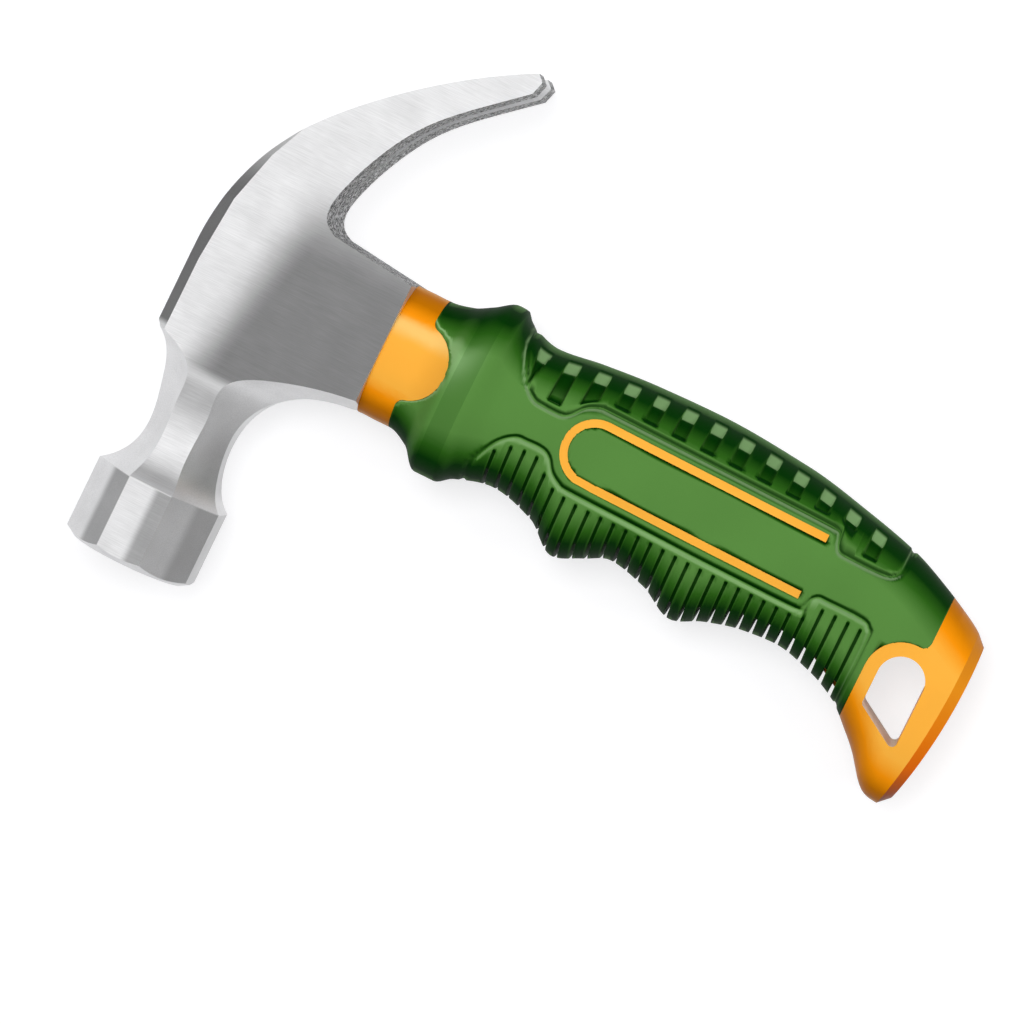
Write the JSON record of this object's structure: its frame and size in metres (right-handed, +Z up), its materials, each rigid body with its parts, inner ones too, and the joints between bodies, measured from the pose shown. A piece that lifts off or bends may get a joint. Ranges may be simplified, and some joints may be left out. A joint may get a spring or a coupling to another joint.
{
  "type": "claw hammer",
  "caption": "Stubby claw hammer with a forged steel head, octagonal poll, curved claw and a hard handle under a ribbed soft grip.",
  "frame": {"origin": "under the middle of the whole hammer as it lies on its side, on the surface it lies on", "axes": "+X along the handle from the head's crown to the butt, +Y towards the claw, -Y towards the striking face, +Z up across the thickness"},
  "size_m": [0.1636, 0.1152, 0.0268],
  "materials": {
    "steel": "polished and brushed, rough forged under the claw",
    "fibreglass": "satin",
    "epoxy": "cured resin",
    "hard_plastic": "moulded, semi-gloss",
    "soft_rubber": "soft-touch, satin"
  },
  "bodies": {
    "root": {"steel_head": "steel", "fibreglass_core": "fibreglass", "epoxy_bond": "epoxy", "handle_jacket": "hard_plastic", "soft_grip": "soft_rubber"}
  },
  "joints": []
}
